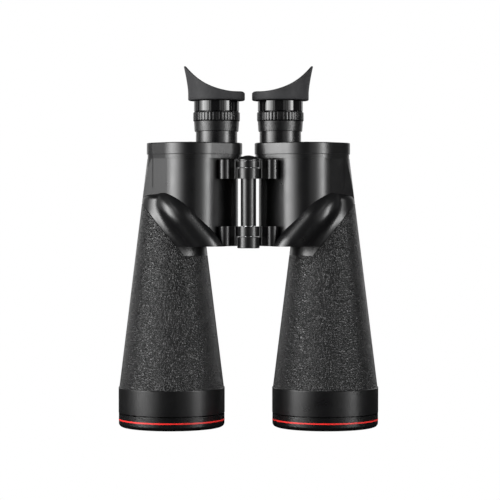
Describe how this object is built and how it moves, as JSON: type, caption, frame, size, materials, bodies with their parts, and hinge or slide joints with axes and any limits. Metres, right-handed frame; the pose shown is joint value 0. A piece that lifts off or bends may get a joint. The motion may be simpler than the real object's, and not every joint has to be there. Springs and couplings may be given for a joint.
{
  "type": "binoculars",
  "caption": "Large straight-barrelled Porro-prism binoculars with pebbled barrels, red-ringed objectives, ribbed focus rings and horned rubber eyecups.",
  "frame": {"origin": "on the plane of the objective rims, midway between the two halves, in the plane of the optical axes", "axes": "+Z along the optical axes from the objectives to the eyepieces, +X towards the half that carries the axle, -Y towards the hinge"},
  "size_m": [0.234, 0.0956, 0.3241],
  "materials": {
    "black_paint": "semi-gloss black enamel on die-cast alloy",
    "turned_black": "fine turned, satin black anodised alloy",
    "gloss_black": "polished gloss black",
    "grained_black": "finely grained satin black",
    "ribbed_black": "satin black, straight ribbed",
    "inner_black": "matt blackened inside surface",
    "pebbled_covering": "black pebble-grained covering",
    "cup_rubber": "soft dark grey rubber, matt",
    "seal_rubber": "black sealing rubber",
    "red_enamel": "bright red enamel",
    "coated_glass": "optical glass with a green coating",
    "clear_glass": "clear optical glass",
    "spring_steel": "spring steel strip",
    "axle_steel": "ground steel",
    "plain_alloy": "bare machined alloy",
    "plain_brass": "machined brass",
    "washer_black": "black low-friction washer material",
    "black_screw": "blackened steel screw"
  },
  "bodies": {
    "right_half": {"right_body_casting": "black_paint", "right_barrel_covering": "pebbled_covering", "right_objective_sleeve": "black_paint", "right_objective_bezel": "turned_black", "right_red_ring": "red_enamel", "right_objective_cell": "inner_black", "right_crown_lens": "coated_glass", "right_flint_lens": "clear_glass", "right_lens_retainer": "inner_black", "right_light_baffles": "inner_black", "right_prism_plate": "plain_alloy", "right_rear_prism": "clear_glass", "right_front_prism": "clear_glass", "right_prism_clips": "spring_steel", "right_prism_cover": "black_paint", "right_cover_seal": "seal_rubber", "right_cover_screws": "black_screw", "right_eyepiece_guide": "turned_black", "right_guide_key": "plain_brass", "hinge_axle": "axle_steel", "hinge_tube": "black_paint", "hinge_washers": "washer_black", "tension_nut": "plain_alloy", "hinge_dome": "black_paint", "hinge_end_ring": "turned_black"},
    "left_half": {"left_body_casting": "black_paint", "left_barrel_covering": "pebbled_covering", "left_objective_sleeve": "black_paint", "left_objective_bezel": "turned_black", "left_red_ring": "red_enamel", "left_objective_cell": "inner_black", "left_crown_lens": "coated_glass", "left_flint_lens": "clear_glass", "left_lens_retainer": "inner_black", "left_light_baffles": "inner_black", "left_prism_plate": "plain_alloy", "left_rear_prism": "clear_glass", "left_front_prism": "clear_glass", "left_prism_clips": "spring_steel", "left_prism_cover": "black_paint", "left_cover_seal": "seal_rubber", "left_cover_screws": "black_screw", "left_eyepiece_guide": "turned_black", "left_guide_key": "plain_brass"},
    "right_eyepiece": {"right_eyepiece_tube": "turned_black", "right_eyepiece_ring": "gloss_black", "right_field_lens": "clear_glass", "right_lens_spacer": "inner_black", "right_eye_lens": "coated_glass"},
    "right_focus_ring": {"right_scale_ring": "grained_black", "right_focus_grip": "ribbed_black"},
    "right_eyeguard": {"right_eyecup": "cup_rubber"},
    "left_eyepiece": {"left_eyepiece_tube": "turned_black", "left_eyepiece_ring": "gloss_black", "left_field_lens": "clear_glass", "left_lens_spacer": "inner_black", "left_eye_lens": "coated_glass"},
    "left_focus_ring": {"left_scale_ring": "grained_black", "left_focus_grip": "ribbed_black"},
    "left_eyeguard": {"left_eyecup": "cup_rubber"}
  },
  "joints": [
    {"name": "centre_hinge", "type": "hinge", "parent": "right_half", "child": "left_half", "pos_m": [0, -0.028, 0.2], "axis": [0, 0, 1], "range_deg": [-2.5, 33]},
    {"name": "right_focus_travel", "type": "slide", "parent": "right_half", "child": "right_eyepiece", "axis": [0, 0, 1], "range_m": [-0.004, 0.004]},
    {"name": "right_focus_turn", "type": "hinge", "parent": "right_eyepiece", "child": "right_focus_ring", "pos_m": [0.0287, 0, 0.2785], "axis": [0, 0, 1], "range_deg": [-144, 144]},
    {"name": "right_eyecup_turn", "type": "hinge", "parent": "right_eyepiece", "child": "right_eyeguard", "pos_m": [0.0287, 0, 0.296], "axis": [0, 0, 1], "range_deg": [-60, 60]},
    {"name": "left_focus_travel", "type": "slide", "parent": "left_half", "child": "left_eyepiece", "axis": [0, 0, 1], "range_m": [-0.004, 0.004]},
    {"name": "left_focus_turn", "type": "hinge", "parent": "left_eyepiece", "child": "left_focus_ring", "pos_m": [-0.0287, 0, 0.2785], "axis": [0, 0, 1], "range_deg": [-144, 144]},
    {"name": "left_eyecup_turn", "type": "hinge", "parent": "left_eyepiece", "child": "left_eyeguard", "pos_m": [-0.0287, 0, 0.296], "axis": [0, 0, 1], "range_deg": [-60, 60]}
  ],
  "couplings": [
    {"joint": "right_focus_turn", "follows": "right_focus_travel", "rad_per_m": 628.32},
    {"joint": "left_focus_turn", "follows": "left_focus_travel", "rad_per_m": 628.32}
  ]
}
